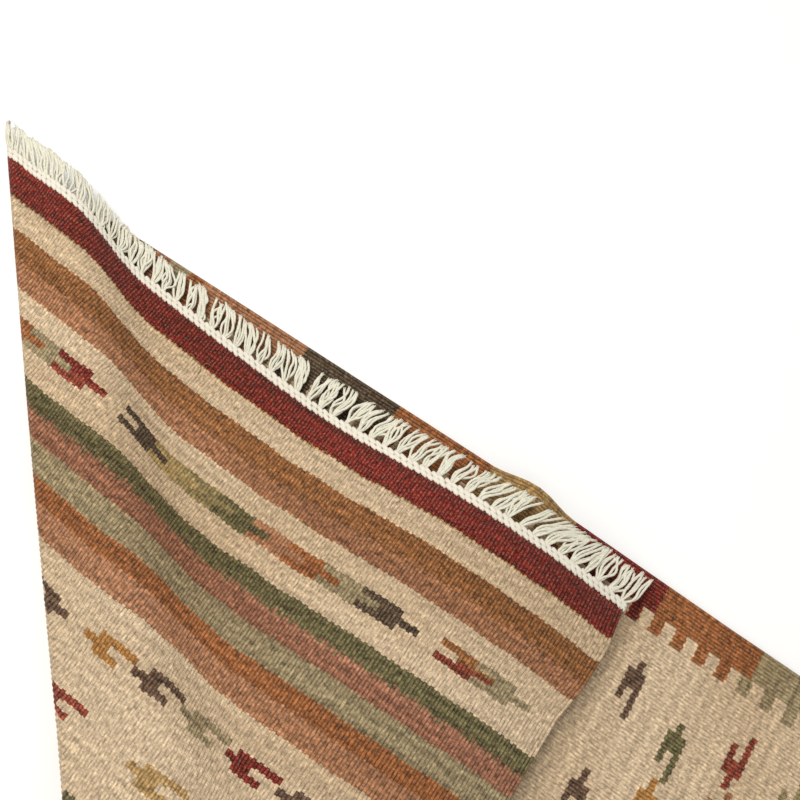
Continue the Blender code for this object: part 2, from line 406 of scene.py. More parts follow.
def grid_faces(rows, columns, close=False):
    """Quads of a grid of rows by columns points. close joins the last column to the first."""
    r = np.arange(rows - 1)[:, None] * columns
    c = np.arange(columns if close else columns - 1)[None, :]
    d = (c + 1) % columns
    return np.stack([r + c, r + d, r + columns + d, r + columns + c], -1).reshape(-1, 4)


def sheet_faces(rows, columns):
    """Faces of a closed sheet whose upper grid of points comes first and whose lower grid follows: the
    upper side, the lower side turned round, then a rim of quads along each of the four edges."""
    count = rows * columns
    face = grid_faces(rows, columns)
    c, r = np.arange(columns - 1), np.arange(rows - 1) * columns
    last = count - columns + c
    right = r + columns - 1
    rims = [
        np.stack([c + 1, c, c + count, c + 1 + count], -1),
        np.stack([last, last + 1, last + 1 + count, last + count], -1),
        np.stack([r, r + columns, r + columns + count, r + count], -1),
        np.stack([right + columns, right, right + count, right + columns + count], -1),
    ]
    return np.concatenate([face, face[:, ::-1] + count] + rims)


def cloth_columns():
    """Places across the cloth, each with its half thickness. A warp is a crest with a groove's two
    edges beside it, and the outer warps at each side are thick cords."""
    height = CREST_LEAST + CREST_VARIES * RNG.random(WARPS)
    u = ((np.arange(WARPS)[:, None] + RIB_PLACES) * WARP_PITCH).ravel()
    half = (GROOVE_HALF + CREST_RISE * RIB_RELIEF[None, :] * height[:, None]).ravel()
    cord = np.minimum(u, WIDTH - u) < SELVEDGE_CORDS * WARP_PITCH
    half = np.where(cord, CORD_GROOVE_HALF + CORD_RISE * np.tile(RIB_RELIEF, WARPS), half)
    return np.concatenate([[0.0], u, [WIDTH]]), np.concatenate([[RIM_HALF], half, [RIM_HALF]])


def cloth_rows(u, start, stop):
    """Places along the cloth for each column u: rows run beside the fold, finest near it, and change
    over to run straight across the rug by the ridge and after it."""
    fold = np.maximum((u - FOLD_START) * np.tan(FOLD_ANGLE), start + SHORTEST_FLAP)
    share = [np.array([0.0])]
    for count, reached in FLAP_ROWS:
        share.append(np.linspace(share[-1][-1], reached, count + 1)[1:])
    share = np.concatenate(share)[::-1]
    rows = [fold[None, :] - (fold - start)[None, :] * share[:, None]]
    last = fold
    for count, beyond, at_least in BASE_ROWS:
        reached = np.minimum(np.maximum(fold + beyond, at_least), stop)
        rows.append(last + (reached - last) * np.linspace(0, 1, count + 1)[1:, None])
        last = reached
    return np.concatenate(rows)


def woven_cloth(material):
    """One closed sheet: the two faces are the laid surface moved out by the half thickness of each
    column, along the normal. The map 'cloth' is the flat place in metres. The map for baking has the
    upper side on its left half, with the rim round it, and the lower side on its right half."""
    u, half = cloth_columns()
    v = cloth_rows(u, BAND_WIDTH - END_TUCK, LENGTH - BAND_WIDTH + END_TUCK)
    rows, columns = v.shape
    u, half = np.broadcast_to(u, v.shape), np.broadcast_to(half, v.shape)
    points = np.concatenate([lay_down(u, v, half).reshape(-1, 3), lay_down(u, v, -half).reshape(-1, 3)])
    faces = sheet_faces(rows, columns)
    made = new_mesh("woven_cloth", points, faces, material)
    corner = faces.ravel()
    flat = np.stack([u.ravel(), v.ravel()], -1)[corner % u.size]
    under = corner >= u.size
    on_rim = np.repeat(np.arange(len(faces)) >= 2 * (rows - 1) * (columns - 1), 4)
    size_on_map, rim_size_on_map = 0.985, 0.995
    shrunk = np.where(under & on_rim, rim_size_on_map, size_on_map)[:, None]
    spot = 0.5 + (flat / (WIDTH, LENGTH) - 0.5) * shrunk
    spot = spot * (0.5, 1.0) + np.where(under & ~on_rim, 0.5, 0.0)[:, None] * (1.0, 0.0)
    for name, values in (("cloth", flat), ("OFBake", spot)):
        made.data.uv_layers.new(name=name).uv.foreach_set("vector", values.astype(np.float32).ravel())
    return made


def tube_faces(count, sections, sides):
    """Quads of closed tubes that follow one another in the list of points, a ring of sides points for
    each section: a tube's wall, then a strip of quads over each end."""
    fan = np.arange(sides // 2 - 1)
    end = np.stack([fan, fan + 1, sides - 2 - fan, sides - 1 - fan], -1)
    wall = grid_faces(sections, sides, close=True)[:, ::-1]
    one = np.concatenate([wall, end, end[:, ::-1] + (sections - 1) * sides])
    return (one[None] + np.arange(count)[:, None, None] * sections * sides).reshape(-1, 4)


def tubes(across, along, lift, upper, radius, sides, lobes=0.0):
    """Strands as tubes, along paths of flat places and heights. Round each point goes a ring of radius
    r (1 + lobes cos 2(a - turn)), where turn grows by half a circle in each PLY_TWIST of length, which
    is the lie of two plies. Gives points, faces, and how much painted shade each point takes: mostly
    by how low it is on the strand, and a little by how near the groove between the plies it is. upper
    is 1 or -1, for the side of the cloth that counts as up."""
    centres, step = lay_down(across, along, lift), 1e-3 * upper
    normals = lay_down(across, along, lift + step) - centres
    strands, sections, _ = centres.shape
    ahead = np.gradient(centres, axis=1)
    length = np.cumsum(np.linalg.norm(ahead, axis=-1), axis=1)
    ahead /= np.linalg.norm(ahead, axis=-1, keepdims=True)
    side = np.cross(ahead, normals)
    side /= np.linalg.norm(side, axis=-1, keepdims=True)
    up = np.cross(side, ahead)
    angle = np.linspace(0, 2 * np.pi, sides, endpoint=False)
    ply = np.cos(2 * (angle - np.pi * length[..., None] / PLY_TWIST))
    ring = (radius[..., None] * (1 + lobes * ply))[..., None]
    points = centres[:, :, None] + ring * (np.cos(angle)[:, None] * side[:, :, None]
                                           + np.sin(angle)[:, None] * up[:, :, None])
    # Painted shade: darker low on each strand and a little in the groove between the plies.
    low = np.clip(LOW_FROM - np.sin(angle), 0, LOW_FROM + 1) / (LOW_FROM + 1)
    painted_shade = LOW_SHARE * low + PLY_SHARE * (0.5 - 0.5 * ply)
    return points.reshape(-1, 3), tube_faces(strands, sections, sides), painted_shade.ravel()


def joined(parts):
    """Rows of (points, faces, painted shade) as one."""
    starts = np.cumsum([0] + [len(points) for points, _, _ in parts])
    return (np.concatenate([points for points, _, _ in parts]),
            np.concatenate([faces + start for (_, faces, _), start in zip(parts, starts)]),
            np.concatenate([painted_shade for _, _, painted_shade in parts]))


def strand_paths(direction, lie):
    """The strands of one fringe: places across, distances out from the end, heights and radii, each in
    a row of points for each strand, with t going from 0 at the root to 1 at the tip.

    A strand goes out by its reach times t, or times a higher power of t where its tassel swings.
    Across the end it lies at its tassel's place, plus its place in the fan, which opens by a smooth
    step and bellies by a sine, plus lean times reach times a power of t, plus the swing, plus slow
    sines. Every other strand rides over its neighbours by half a sine. direction is -1 at the folded
    end, where the cloth's other face is uppermost."""
    strands_each = RNG.integers(*STRANDS_EACH, TASSELS)
    tassel = np.repeat(np.arange(TASSELS), strands_each)
    count = len(tassel)
    order = np.concatenate([np.linspace(-1, 1, n) for n in strands_each])
    order = order + RNG.normal(0, ORDER_SPREAD, count)
    over = np.concatenate([np.arange(n) % 2 for n in strands_each])
    place = (np.arange(TASSELS) + 0.5) * TASSEL_PITCH
    places, leans, reaches, roots, widths = np.array(lie).T

    lean = np.interp(place, places, leans) + RNG.normal(0, TASSEL_LEAN, TASSELS)
    lean = (lean[tassel] + RNG.normal(0, STRAND_LEAN, count))[:, None]
    longer = 1 + RNG.normal(0, TASSEL_REACH, TASSELS)[tassel] + RNG.uniform(*STRAND_REACH, count)
    reach = (np.interp(place, places, reaches)[tassel] * longer)[:, None]
    bend = RNG.uniform(*TASSEL_BEND, TASSELS)[tassel][:, None]
    belly = RNG.uniform(*TASSEL_BELLY, TASSELS)[tassel][:, None]
    open_to = np.interp(place, places, widths) * RNG.uniform(*TASSEL_OPENING, TASSELS)
    open_to = open_to[tassel][:, None]
    sway = RNG.normal(0, TASSEL_SWAY, TASSELS)[tassel][:, None]
    phase = RNG.uniform(0, 2 * np.pi, TASSELS)[tassel][:, None]
    root = np.interp(place, places, roots)[tassel][:, None]
    swing = np.zeros(TASSELS)
    if direction < 0:
        last = np.clip((place - LAST_TASSELS_FROM) / (WIDTH - LAST_TASSELS_FROM), 0, 1)
        swing = LAST_TASSELS_SWING * last
    swing = swing[tassel][:, None]

    t = np.linspace(0, 1, STRAND_SECTIONS)[None, :]
    opened = np.clip(t / OPENED_BY, 0, 1)
    opened = opened**2 * (3 - 2 * opened)
    fan = root + (open_to - root) * opened * (1 + belly * np.sin(np.pi * t))
    own_sway = RNG.normal(0, STRAND_SWAY, (count, 1))
    own_sway = own_sway * np.sin(np.pi * t * RNG.uniform(*STRAND_SWAY_TURNS, (count, 1)))
    across = (place[tassel][:, None] + order[:, None] * fan + lean * reach * t**bend
              + swing * (1 - (1 - t) ** 2)
              + sway * t * np.sin(TASSEL_SWAY_ANGLE * t + phase)
              + own_sway)
    ride = (RIDE_OVER * over - RIDE_UNDER)[:, None] * np.sin(np.pi * np.minimum(RIDE_QUICKER * t, 1))
    lift = ride + RNG.uniform(*TIP_LIFT, (count, 1)) * t
    out = reach * t ** (1 + SWING_POWER * swing) - ROOT_TUCK
    if direction > 0:
        across, lift = WIDTH - across, lift - FAR_TIP_SINKS * t
    else:
        lift = -lift
    size = 1 - ROOT_SLIMMER + ROOT_SLIMMER * opened
    radius = FRINGE_STRAND / 2 * size * (1 + RNG.normal(0, STRAND_SIZE, (count, 1)))
    return across, out, lift, radius


def frayed_ends(across, out, lift):
    """The cut end of each strand opens into a few loose fibres. They start a little inside it, go on
    along its last slope, and lie on a circle round it that widens along them. Gives their paths as
    strand_paths() does."""
    count = len(across)
    turn = np.linspace(0, 2 * np.pi, FIBRES, endpoint=False) + RNG.uniform(*FIBRE_START, (count, 1))
    turn = turn[..., None]
    t = np.linspace(0, 1, FIBRE_SECTIONS)
    beyond = t * RNG.uniform(*FIBRE_LENGTH, (count, FIBRES, 1)) - FIBRE_TUCK
    opens = FIBRE_OPENS * t * RNG.uniform(*FIBRE_VARIES, (count, FIBRES, 1))
    spread = FRINGE_STRAND * (FIBRE_CIRCLE + opens)
    slope = ((across[:, -1] - across[:, -2]) / (out[:, -1] - out[:, -2]))[:, None, None]
    paths = (
        across[:, -1, None, None] + slope * beyond + spread * np.cos(turn),
        out[:, -1, None, None] + beyond,
        lift[:, -1, None, None] + spread * np.sin(turn) * FIBRE_FLATTER,
        FRINGE_STRAND * FIBRE_SIZE * (1 - FIBRE_TAPER * t),
    )
    return [path.reshape(-1, FIBRE_SECTIONS) for path in np.broadcast_arrays(*paths)]


def fringe(name, edge, direction, lie, material):
    """Tassels of plied cotton strands, frayed where they are cut."""
    across, out, lift, radius = strand_paths(direction, lie)
    strands = tubes(across, edge + direction * out, lift, direction, radius, STRAND_SIDES, PLY_LOBES)
    across, out, lift, radius = frayed_ends(across, out, lift)
    points, faces, _ = tubes(across, edge + direction * out, lift, direction, radius, FIBRE_SIDES)
    fibres = points, faces, np.full(len(points), FIBRE_PAINTED_SHADE)
    points, faces, painted_shade = joined([strands, fibres])
    return new_mesh(name, points, faces, material, painted_shade)


def twined_band(name, edge, direction, material):
    """A thin closed core with two rows of slanted stitches on each face. A stitch is an ellipsoid
    with blunt ends, long along its slant and half sunk in the core, and it spans three warps."""
    places, halves = np.array(BAND_CORE).T
    core_u = np.linspace(CORE_INSET, WIDTH - CORE_INSET, WARPS + 1)
    u, v = np.meshgrid(core_u, edge + direction * places)
    half = np.broadcast_to(halves[:, None], u.shape)
    points = np.concatenate([lay_down(u, v, half).reshape(-1, 3), lay_down(u, v, -half).reshape(-1, 3)])
    faces = sheet_faces(*u.shape)
    # The core, seen between the stitches, takes the full painted shade.
    parts = [(points, faces if direction > 0 else faces[:, ::-1], np.ones(len(points)))]

    count = WARPS // 2
    polar = np.linspace(0, np.pi, STITCH_RINGS + 2)[1:-1]
    turn = np.linspace(0, 2 * np.pi, STITCH_SIDES, endpoint=False)
    blunt = np.sin(polar)[:, None] ** STITCH_BLUNT
    along = np.cos(polar)[:, None] * np.ones(STITCH_SIDES)
    wide, deep = blunt * np.cos(turn), blunt * np.sin(turn)
    faces = tube_faces(count, STITCH_RINGS, STITCH_SIDES)
    for row, offset, slant in STITCH_ROWS:
        for side in (1, -1):
            centre_u = (np.arange(count) + 0.5 + offset) * 2 * WARP_PITCH + RNG.normal(0, STITCH_ALONG, count)
            centre_u = np.clip(centre_u, STITCH_INSET, WIDTH - STITCH_INSET)[:, None, None]
            centre_v = (row + RNG.normal(0, STITCH_ACROSS, count))[:, None, None]
            a = (slant + RNG.normal(0, STITCH_SLANT, count))[:, None, None]
            larger = RNG.normal(0, STITCH_VARIES, (3, count, 1, 1))
            length, width, depth = np.array(STITCH_SIZE)[:, None, None, None] / 2 * (1 + larger)
            at = centre_u + length * along * np.cos(a) - width * wide * np.sin(a)
            far = centre_v + length * along * np.sin(a) + width * wide * np.cos(a)
            points = lay_down(at, edge + direction * far, side * (STITCH_LIFT + depth * deep))
            # Painted shade: full on a stitch's half toward the core, fading to none at its outermost point.
            painted_shade = np.broadcast_to(STITCH_PAINTED_SHADE - STITCH_PAINTED_SHADE * np.clip(deep, 0, 1), at.shape).ravel()
            outwards = faces if side * direction > 0 else faces[:, ::-1]
            parts.append((points.reshape(-1, 3), outwards, painted_shade))
    points, faces, painted_shade = joined(parts)
    return new_mesh(name, points, faces, material, painted_shade)


def loose_threads(material):
    """Stray ends of the mustard outline on the folded end's upper face. Each is a thin tube along an
    arc of a circle, from the outline out over the stripes beside it, and arches by a squared sine."""
    place, length, heading = np.array(LOOSE_THREADS).T[:, :, None]
    t = np.linspace(0, 1, THREAD_SECTIONS)[None, :]
    angle = heading + THREAD_TURN * t
    step = length * np.gradient(t, axis=1)
    across = place + np.cumsum(step * np.cos(angle), axis=1)
    along = THREADS_FROM + np.cumsum(step * np.sin(angle), axis=1)
    lift = -(THREAD_LIFT + THREAD_ARCH * np.sin(np.pi * t) ** 2)
    radius = np.full(across.shape, THREAD_RADIUS)
    # Their side with the painted shade faces away from the cloth, which makes them darker than the outline.
    points, faces, painted_shade = tubes(across, along, lift, 1, radius, THREAD_SIDES)
    return new_mesh("loose_threads", points, faces, material, painted_shade)


# ---- materials
def linear(code):
    """An sRGB hex colour as linear RGBA."""
    value = np.array([int(code[i:i + 2], 16) for i in (1, 3, 5)]) / 255
    return (*np.where(value <= 0.04045, value / 12.92, ((value + 0.055) / 1.055) ** 2.4), 1.0)


def node(tree, kind, inputs=(), out=0, **settings):
    """Adds a shader node: its settings, then its inputs by place or by name, each a value or a link.
    kind is its type, or for a Math node its operation, which is in capitals."""
    if kind.isupper():
        kind, settings["operation"] = "Math", kind
    made = tree.nodes.new("ShaderNode" + kind)
    for key, value in settings.items():
        setattr(made, key, value)
    for place, value in inputs.items() if isinstance(inputs, dict) else enumerate(inputs):
        if isinstance(value, bpy.types.NodeSocket):
            tree.links.new(value, made.inputs[place])
        else:
            made.inputs[place].default_value = value
    return made.outputs[out] if made.outputs else None


def colour_steps(factor, stops):
    """Fills the colour ramp that gives this output with steps, from rows of (place, linear colour)."""
    band = factor.node.color_ramp
    band.interpolation = "CONSTANT"
    for spare in list(band.elements)[1:]:
        band.elements.remove(spare)
    for number, (place, colour) in enumerate(stops):
        element = band.elements[0] if number == 0 else band.elements.new(place)
        element.position, element.color = place, colour
    return factor


def yarn_rows(starts, whole, yarns):
    """Rows for colour_steps(): where each yarn starts, as a share of the whole, and its colour."""
    return [(start / whole, linear(YARNS[yarn])) for start, yarn in zip(starts, yarns)]


def new_material(name):
    """A material whose node tree is still empty."""
    material = bpy.data.materials.new(name)
    material.use_nodes = True
    material.node_tree.nodes.clear()
    return material


def edge_steps(add, u, v, warp, odd):
    """A colour's edge steps by one pick from warp to warp, and wanders a little. warp is the number of
    a warp, and odd is 1 on every other. Gives the place along the cloth with the steps only, and the
    distance from the nearer end with both."""
    chance = add("TexWhiteNoise", {"W": warp}, noise_dimensions="1D")
    wander = add("TexNoise", {"W": u, "Scale": WANDER_CELLS, "Detail": 2.0}, noise_dimensions="1D")
    step = add("MULTIPLY_ADD", (odd, EDGE_STEP, -EDGE_STEP / 2))
    step = add("MULTIPLY_ADD", (add("SUBTRACT", (chance, 0.5)), EDGE_CHANCE, step))
    crisp_v = add("ADD", (v, step))
    step = add("MULTIPLY_ADD", (add("SUBTRACT", (wander, 0.5)), EDGE_WANDER, step))
    v_step = add("ADD", (v, step))
    from_far = add("SUBTRACT", (LENGTH, v_step))
    return crisp_v, add("MINIMUM", (v_step, from_far))


def striped_header(add, u, v, warp, from_end):
    """The stripes at each end. Some edges are hatched: there the place is thrown about, rib by rib. The
    mustard outline between two of them comes and goes."""
    at = add("CombineXYZ", (add("MULTIPLY", (warp, RIB_SHIFT)),
                            add("MULTIPLY", (v, 1 / HATCH_LENGTH)), HATCH_LAYER))
    hatch = add("TexNoise", {"Vector": at, "Scale": 1.0, "Detail": 2.0, "Roughness": 0.7})
    hatch = add("MapRange", {"Value": hatch, "From Min": 0.34, "From Max": 0.66,
                             "To Min": -0.5, "To Max": 0.5})
    header_place = from_end
    for start, (_, _, spread) in zip(HEADER_STARTS, HEADER_STRIPES):
        if spread:
            close = add("COMPARE", (from_end, start, spread / 1000))
            shift = add("MULTIPLY", (close, spread / 1000))
            header_place = add("MULTIPLY_ADD", (shift, hatch, header_place))
    header_place = add("DIVIDE", (header_place, HEADER_LENGTH))

    yarns = [yarn for yarn, _, _ in HEADER_STRIPES]
    colour = colour_steps(add("ValToRGB", (header_place,)), yarn_rows(HEADER_STARTS, HEADER_LENGTH, yarns))
    thread = add("TexNoise", {"W": u, "Scale": OUTLINE_CELLS, "Detail": 2.0}, noise_dimensions="1D")
    thread = add("MapRange", {"Value": thread, "From Min": 0.36, "From Max": 0.62,
                              "To Min": OUTLINE_THIN, "To Max": OUTLINE_THICK})
    off = add("ABSOLUTE", (add("SUBTRACT", (from_end, OUTLINE_PLACE)),))
    on_thread = add("LESS_THAN", (off, add("MULTIPLY", (thread, 0.5))))
    return add("MixRGB", (on_thread, colour, linear(YARNS["mustard"])))


def fork_band(add, colour, warp, from_end):
    """The band of nested forks: each fork's stem lies in the notch of the next."""
    below = add("SUBTRACT", (from_end, MOTIF_CENTRE))
    off = add("ABSOLUTE", (below,))
    below = add("GREATER_THAN", (below, 0.0))
    count = add("DIVIDE", (add("SUBTRACT", (warp, MOTIF_FIRST_WARP)), MOTIF_WARPS))
    stem = add("LESS_THAN", (add("FRACT", (count,)), 0.5))
    stem = add("MULTIPLY", (stem, add("LESS_THAN", (off, MOTIF_NOTCH))))
    count = add("SUBTRACT", (add("FLOOR", (count,)), stem))
    count = add("DIVIDE", (add("ADD", (count, 0.5)), len(MOTIF_YARNS)))
    beyond = [MOTIF_CHANGES.get(number, yarn) for number, yarn in enumerate(MOTIF_YARNS)]
    forks = [colour_steps(add("ValToRGB", (count,)), yarn_rows(range(len(yarns)), len(yarns), yarns))
             for yarns in (MOTIF_YARNS, beyond)]
    on_fork = add("LESS_THAN", (off, MOTIF_HALF))
    return add("MixRGB", (on_fork, colour, add("MixRGB", (below, *forks))))


def field_forks(add, colour, warp, from_end):
    """Rows of single forks over the field. They point at a mirror line near the middle of the width,
    and in the middle of the length they are turned round. Every other row is moved and thinned out."""
    row = add("DIVIDE", (add("SUBTRACT", (from_end, FIELD_FIRST)), FIELD_STEP))
    row = add("ADD", (row, 0.5))
    off = add("SUBTRACT", (add("FRACT", (row,)), 0.5))
    further = add("GREATER_THAN", (off, 0.0))
    off = add("MULTIPLY", (add("ABSOLUTE", (off,)), FIELD_STEP / MOTIF_HALF))
    row = add("FLOOR", (row,))
    odd_row = add("FLOORED_MODULO", (row, 2.0))
    turned = add("GREATER_THAN", (row, FIELD_TURNS_AFTER))
    left = add("LESS_THAN", (warp, FIELD_MIRROR_WARP))
    reach = add("ABSOLUTE", (add("SUBTRACT", (warp, FIELD_MIRROR_WARP)),))
    reach = add("SUBTRACT", (reach, FIELD_GAP))
    back = add("SUBTRACT", (FIELD_FORKS * FIELD_WARPS, reach))
    moved = add("MULTIPLY_ADD", (odd_row, FIELD_STEM_WARPS, reach))
    moved_back = add("MULTIPLY_ADD", (odd_row, -FIELD_WARPS / 2, back))
    reach = add("MixRGB", (turned, moved, moved_back))
    count = add("DIVIDE", (reach, FIELD_WARPS))
    shape = colour_steps(add("ValToRGB", (add("FRACT", (count,)),)),
                         [(start / FIELD_WARPS, (high, low, one_prong, 1))
                          for start, high, low, one_prong in FIELD_FORK])
    shape = add("SeparateColor", (shape,))
    on_fork = add("LESS_THAN", (off, shape))
    number = add("FLOOR", (count,))
    no_prong = add("MULTIPLY", (shape.node.outputs[2], further))
    for test in (
        add("GREATER_THAN", (off, shape.node.outputs[1])),
        add("SUBTRACT", (1.0, no_prong)),
        add("GREATER_THAN", (number, -0.5)),
        add("LESS_THAN", (number, FIELD_FORKS - 0.5)),
        add("GREATER_THAN", (row, -0.5)),
    ):
        on_fork = add("MULTIPLY", (on_fork, test))
    thinned = add("ABSOLUTE", (add("SUBTRACT", (odd_row, turned)),))
    skipped = add("MULTIPLY", (add("FLOORED_MODULO", (number, 2.0)), thinned))
    on_fork = add("MULTIPLY", (on_fork, add("SUBTRACT", (1.0, skipped))))
    yarns = len(FIELD_YARNS)
    number = add("MULTIPLY_ADD", (left, LEFT_YARN_STEP, number))
    number = add("MULTIPLY_ADD", (row, ROW_YARN_STEP, number))
    number = add("ADD", (add("FLOORED_MODULO", (number, yarns)), 0.5))
    forks = colour_steps(add("ValToRGB", (add("DIVIDE", (number, yarns)),)),
                         yarn_rows(range(yarns), yarns, FIELD_YARNS))
    return add("MixRGB", (on_fork, colour, forks))


def side_borders(add, colour, warp, crisp_v, from_end):
    """The side borders between the headers, with comb teeth on their inner edge."""
    u_mid = add("MULTIPLY", (add("ADD", (warp, 0.5)), WARP_PITCH))
    inward = add("MINIMUM", (u_mid, add("SUBTRACT", (WIDTH, u_mid))))
    near = add("LESS_THAN", (u_mid, WIDTH / 2))
    crisp_far = add("SUBTRACT", (LENGTH, crisp_v))
    block_v = add("MixRGB", (near, crisp_far, crisp_v))
    on_teeth = add("GREATER_THAN", (inward, BORDER_SOLID))
    colour_v = add("MULTIPLY_ADD", (on_teeth, TOOTH_PERIOD / 2, block_v))
    starts = [0.0] + [BORDER_FIRST + BORDER_STEP * n for n in range(len(BORDER_YARNS) - 1)]
    blocks = colour_steps(add("ValToRGB", (add("DIVIDE", (colour_v, LENGTH)),)),
                          yarn_rows(starts, LENGTH, BORDER_YARNS))
    tooth = add("DIVIDE", (add("SUBTRACT", (block_v, TOOTH_START)), TOOTH_PERIOD))
    tooth = add("LESS_THAN", (add("FRACT", (tooth,)), 0.5))
    depth = add("MULTIPLY_ADD", (tooth, BORDER_TEETH - BORDER_SOLID, BORDER_SOLID))
    in_border = add("LESS_THAN", (inward, depth))
    in_field = add("GREATER_THAN", (from_end, HEADER_STARTS[-1]))
    in_border = add("MULTIPLY", (in_border, in_field))
    return add("MixRGB", (in_border, colour, blocks))


def uneven_dye(add, colour, place, show):
    """Batches of yarn that came out of the dye a little differently, and streaks along the weft, where
    it took more or less."""
    at = add("VectorMath", (place, LOT_CELLS), operation="MULTIPLY")
    lot = add("TexNoise", {"Vector": at, "Scale": 1.0, "Detail": 1.0})
    lot = add("MapRange", {"Value": lot, "From Min": 0.34, "From Max": 0.66})
    colour = add("MixRGB", (1.0, colour, add("MixRGB", (lot, LOT_DARK, LOT_LIGHT))), blend_type="MULTIPLY")

    at = add("VectorMath", (place, STREAK_CELLS), operation="MULTIPLY")
    streak = add("TexNoise", {"Vector": at, "Scale": 1.0, "Detail": 4.0, "Roughness": 0.6})
    streak = add("MapRange", {"Value": streak, "From Min": 0.32, "From Max": 0.68})
    tint = add("MixRGB", (streak, STREAK_DARK, STREAK_LIGHT))
    return add("MixRGB", (show, colour, add("MixRGB", (1.0, colour, tint), blend_type="MULTIPLY")))


def spun_yarn(add, colour, place, v, warp, odd, show):
    """Thick and thin spinning: short lighter and darker lengths on each rib, which differ from its
    neighbour's, then the tone of each float, then a fine mottle over all of them, then painted shade at
    each float's ends. Gives the mottle and the roundness of the floats too."""
    at = add("CombineXYZ", (add("MULTIPLY", (warp, RIB_SHIFT)),
                            add("MULTIPLY", (v, 1 / SLUB_LENGTH))))
    slub = add("TexNoise", {"Vector": at, "Scale": 1.0, "Detail": 2.0, "Roughness": 0.7})
    slub = add("MapRange", {"Value": slub, "From Min": 0.30, "From Max": 0.70,
                            "To Min": -SLUB, "To Max": SLUB})
    float_v = add("ADD", (add("DIVIDE", (v, 2 * PICK)), add("MULTIPLY", (odd, 0.5))))
    float_number = add("FLOOR", (float_v,))
    chance = add("TexWhiteNoise", {"Vector": add("CombineXYZ", (warp, float_number))},
                 noise_dimensions="2D")
    chance = add("MapRange", {"Value": chance, "To Min": -FLOAT_TONE, "To Max": FLOAT_TONE})
    tone = add("MULTIPLY_ADD", (add("ADD", (slub, chance)), show, 1.0))
    at = add("VectorMath", (place, MOTTLE_CELLS), operation="MULTIPLY")
    fine = add("TexNoise", {"Vector": at, "Scale": 1.0, "Detail": 3.0, "Roughness": 0.7})
    mottle = add("MapRange", {"Value": fine, "From Min": 0.25, "From Max": 0.75,
                              "To Min": 1 - MOTTLE, "To Max": 1 + MOTTLE})
    tone = add("MULTIPLY", (tone, mottle))
    # Painted shade: each float is darker toward its ends, where the weft goes down between floats; the same
    # shape gives the bump.
    bead = add("MULTIPLY", (add("FRACT", (float_v,)), np.pi))
    bead = add("SINE", (bead,))
    dip_shade = add("MapRange", {"Value": bead, "From Max": 0.8, "To Min": 1 - FLOAT_DIP_SHADE})
    tone = add("MULTIPLY", (tone, dip_shade))
    return add("VectorMath", (colour, tone), operation="MULTIPLY"), fine, bead


def groove_shade_and_highlights(add, colour, place, in_warp, fine, show):
    """Painted shade in the groove between two warps, broken by the mottle, and painted highlights on the
    crests, lighter than the yarn and toward ivory.
    """
    centre = add("ABSOLUTE", (add("SUBTRACT", (in_warp, 0.5)),))
    # Painted shade: darkest at the middle of the groove between two warps.
    groove = add("MapRange", {"Value": centre, "From Min": 0.20, "From Max": 0.5})
    broken = add("MapRange", {"Value": fine, "From Min": 0.30, "From Max": 0.60,
                              "To Min": 1.3, "To Max": 0.6})
    groove = add("MULTIPLY", (groove, broken))
    groove = add("MULTIPLY", (groove, show), use_clamp=True)
    shaded = add("VectorMath", (colour, GROOVE_SHADE), operation="MULTIPLY")
    colour = add("MixRGB", (groove, colour, shaded))

    # Painted highlights: pale specks, only on the rib crests.
    crest_highlight = add("TexNoise", {"Vector": place, "Scale": HIGHLIGHT_CELLS, "Detail": 2.0, "Roughness": 0.8})
    crest_highlight = add("MapRange", {"Value": crest_highlight, "From Min": 0.46, "From Max": 0.70, "To Max": HIGHLIGHT})
    crest = add("MapRange", {"Value": centre, "From Min": 0.15, "From Max": 0.45,
                             "To Min": 1.0, "To Max": 0.0})
    crest_highlight = add("MULTIPLY", (crest_highlight, crest))
    pale = add("VectorMath", (colour, HIGHLIGHT_LIGHTER), operation="MULTIPLY")
    pale = add("MixRGB", (HIGHLIGHT_IVORY, pale, linear(YARNS["ivory"])))
    return add("MixRGB", (crest_highlight, colour, pale))


def wool_material():
    """Hand-spun wool in a weft-faced plain weave: matt, ribbed along the warps, each rib a column of
    small floats, with heathered yarn and streaks where the dye lot changes. Painted shade lies in the grooves
    and at the floats' ends, and painted highlights on the crests."""
    material = new_material("flat_woven_wool")
    add = partial(node, material.node_tree)
    place = add("UVMap", uv_map="cloth")
    u = add("SeparateXYZ", (place,))
    v = u.node.outputs[1]
    warps = add("DIVIDE", (u, WARP_PITCH))
    warp = add("FLOOR", (warps,))
    in_warp = add("FRACT", (warps,))
    odd = add("FLOORED_MODULO", (warp, 2.0))

    crisp_v, from_end = edge_steps(add, u, v, warp, odd)
    colour = striped_header(add, u, v, warp, from_end)
    colour = fork_band(add, colour, warp, from_end)
    colour = field_forks(add, colour, warp, from_end)
    colour = side_borders(add, colour, warp, crisp_v, from_end)
    # Dark yarns show streaks, uneven spinning and the grooves' painted shade more than undyed ones do.
    show = add("MapRange", {"Value": add("RGBToBW", (colour,)), "From Min": 0.04, "From Max": 0.42,
                            "To Min": 1.0, "To Max": PALE_SHOWS})
    colour = uneven_dye(add, colour, place, show)
    colour, fine, bead = spun_yarn(add, colour, place, v, warp, odd, show)
    colour = groove_shade_and_highlights(add, colour, place, in_warp, fine, show)
    height = add("MULTIPLY_ADD", (fine, 0.9, bead))
    bump = add("Bump", {"Strength": 0.7, "Distance": 0.0004, "Height": height})
    shader = add("BsdfPrincipled", {"Base Color": colour, "Roughness": 0.9, "Normal": bump,
                                    "Specular IOR Level": 0.12, "Sheen Weight": 0.04,
                                    "Sheen Roughness": 0.5})
    add("OutputMaterial", (shader,))
    return material


